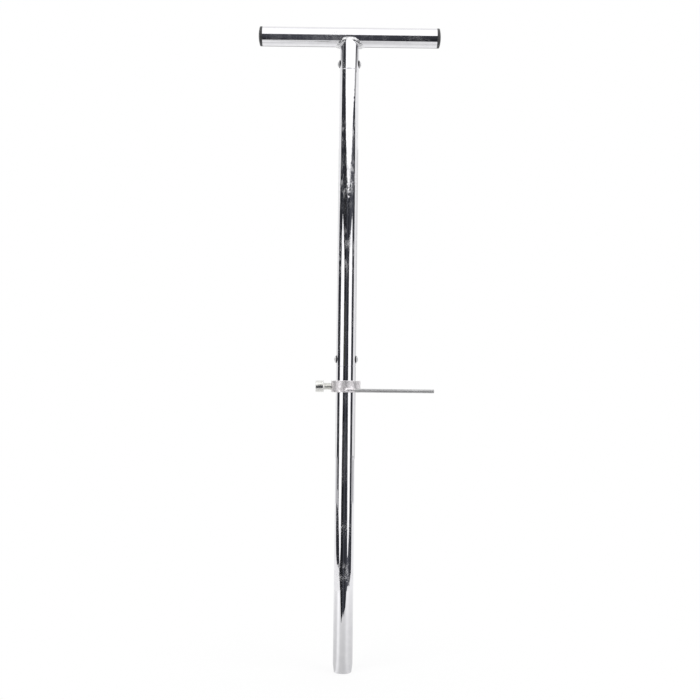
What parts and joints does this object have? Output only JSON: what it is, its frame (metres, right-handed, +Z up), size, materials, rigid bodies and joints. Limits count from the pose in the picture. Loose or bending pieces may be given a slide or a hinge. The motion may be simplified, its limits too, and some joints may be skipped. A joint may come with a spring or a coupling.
{
  "type": "soil probe",
  "caption": "T-handled tubular soil probe in snap-button sections, with a bevelled cutting mouth, a core window and a sliding clamped depth stop.",
  "frame": {"origin": "centre of the cutting edge at the probe's lower end, on the shaft's axis", "axes": "+Z up the shaft to the T-handle, +X along the crossbar to the side of the depth stop's rod, +Y to the side of the core window"},
  "size_m": [0.2092, 0.037, 0.7296],
  "materials": {
    "chrome_tube": "bright chrome plate with faint handling scratches",
    "plated_weld": "chrome plate over an uneven weld bead",
    "plug": "moulded black plastic, slightly grained",
    "sleeve": "turned steel",
    "button_spring": "spring steel strip",
    "snap_button": "plated, slightly worn",
    "stop_collar": "satin zinc plate",
    "stop_rod": "grey drawn wire rod",
    "stop_screw": "bright zinc plate"
  },
  "bodies": {
    "shaft": {"crossbar_tube": "chrome_tube", "handle_socket": "chrome_tube", "extension_tube": "chrome_tube", "sampling_tube": "chrome_tube", "handle_weld": "plated_weld", "left_end_plug": "plug", "right_end_plug": "plug", "upper_sleeve": "sleeve", "lower_sleeve": "sleeve", "upper_button_spring": "button_spring", "lower_button_spring": "button_spring"},
    "depth_stop": {"stop_collar": "stop_collar", "stop_rod": "stop_rod", "stop_rod_weld": "stop_collar"},
    "clamp_screw": {"stop_screw": "stop_screw"},
    "upper_left_button": {"upper_left_button": "snap_button"},
    "upper_right_button": {"upper_right_button": "snap_button"},
    "lower_left_button": {"lower_left_button": "snap_button"},
    "lower_right_button": {"lower_right_button": "snap_button"}
  },
  "joints": [
    {"name": "depth_stop_slide", "type": "slide", "parent": "shaft", "child": "depth_stop", "axis": [0, 0, 1], "range_m": [-0.3, 0.018]},
    {"name": "clamp_screw_turn", "type": "hinge", "parent": "depth_stop", "child": "clamp_screw", "pos_m": [-0.025, 0, 0.3172], "axis": [-1, 0, 0], "range_deg": [0, 450]},
    {"name": "upper_left_button_press", "type": "slide", "parent": "shaft", "child": "upper_left_button", "axis": [1, 0, 0], "range_m": [0, 0.0044], "stiffness_N_per_m": 3000, "springref_m": -0.002, "deforming": ["upper_button_spring"]},
    {"name": "upper_right_button_press", "type": "slide", "parent": "shaft", "child": "upper_right_button", "axis": [-1, 0, 0], "range_m": [0, 0.0044], "stiffness_N_per_m": 3000, "springref_m": -0.002, "deforming": ["upper_button_spring"]},
    {"name": "lower_left_button_press", "type": "slide", "parent": "shaft", "child": "lower_left_button", "axis": [1, 0, 0], "range_m": [0, 0.0044], "stiffness_N_per_m": 3000, "springref_m": -0.002, "deforming": ["lower_button_spring"]},
    {"name": "lower_right_button_press", "type": "slide", "parent": "shaft", "child": "lower_right_button", "axis": [-1, 0, 0], "range_m": [0, 0.0044], "stiffness_N_per_m": 3000, "springref_m": -0.002, "deforming": ["lower_button_spring"]}
  ]
}
